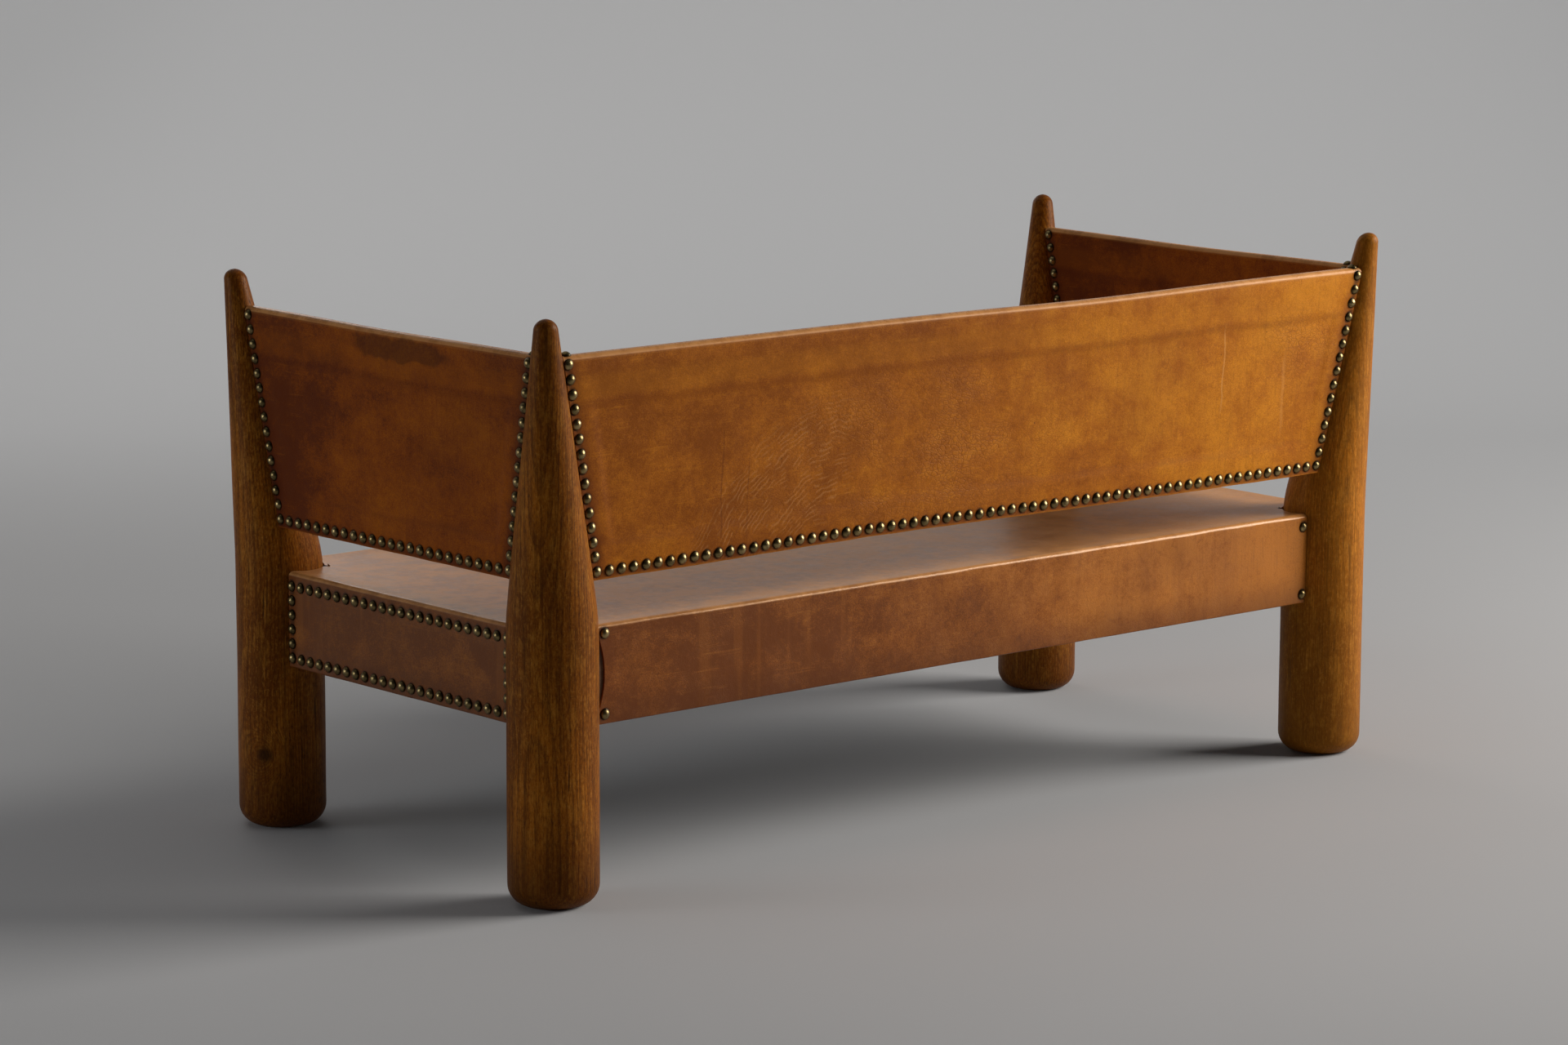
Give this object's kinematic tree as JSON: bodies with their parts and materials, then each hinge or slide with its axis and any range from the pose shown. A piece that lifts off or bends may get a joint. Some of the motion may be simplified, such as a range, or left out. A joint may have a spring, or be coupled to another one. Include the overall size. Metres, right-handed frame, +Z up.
{
  "type": "settee",
  "caption": "Low settee with thick tapered oak legs, a leather-covered seat box and leather panels at the back and both ends, edged with domed nails.",
  "frame": {"origin": "on the floor under the middle of the settee, the bottom centre of its bounding box", "axes": "+Z up, +X to the right as seen from the front, +Y towards the back panel; the open front faces -Y"},
  "size_m": [1.522, 0.705, 0.75],
  "materials": {
    "oak": "oiled oak, honey brown, satin",
    "frame_wood": "bare beech, hidden under the leather",
    "leather": "cognac saddle leather with patina, satin",
    "brass": "antique brass, dark in the hollows",
    "jute": "woven jute",
    "padding": "felted wadding",
    "bottoming": "dark plain-woven cloth"
  },
  "bodies": {
    "root": {"leg_front_left": "oak", "leg_front_right": "oak", "leg_back_left": "oak", "leg_back_right": "oak", "seat_rail_front": "frame_wood", "seat_rail_back": "frame_wood", "seat_rail_left": "frame_wood", "seat_rail_right": "frame_wood", "seat_cross_rail": "frame_wood", "webbing_lengthwise": "jute", "webbing_crosswise": "jute", "seat_hessian": "jute", "seat_pad": "padding", "seat_leather": "leather", "bottoming_cloth": "bottoming", "seat_nails_left": "brass", "seat_nails_right": "brass", "seat_corner_nails": "brass", "back_top_rail": "frame_wood", "back_bottom_rail": "frame_wood", "back_stile_left": "frame_wood", "back_stile_right": "frame_wood", "back_leather": "leather", "back_nails_outside": "brass", "back_nails_inside": "brass", "left_top_rail": "frame_wood", "left_bottom_rail": "frame_wood", "left_stile_front": "frame_wood", "left_stile_back": "frame_wood", "left_leather": "leather", "left_nails_outside": "brass", "left_nails_inside": "brass", "right_top_rail": "frame_wood", "right_bottom_rail": "frame_wood", "right_stile_front": "frame_wood", "right_stile_back": "frame_wood", "right_leather": "leather", "right_nails_outside": "brass", "right_nails_inside": "brass"}
  },
  "joints": []
}
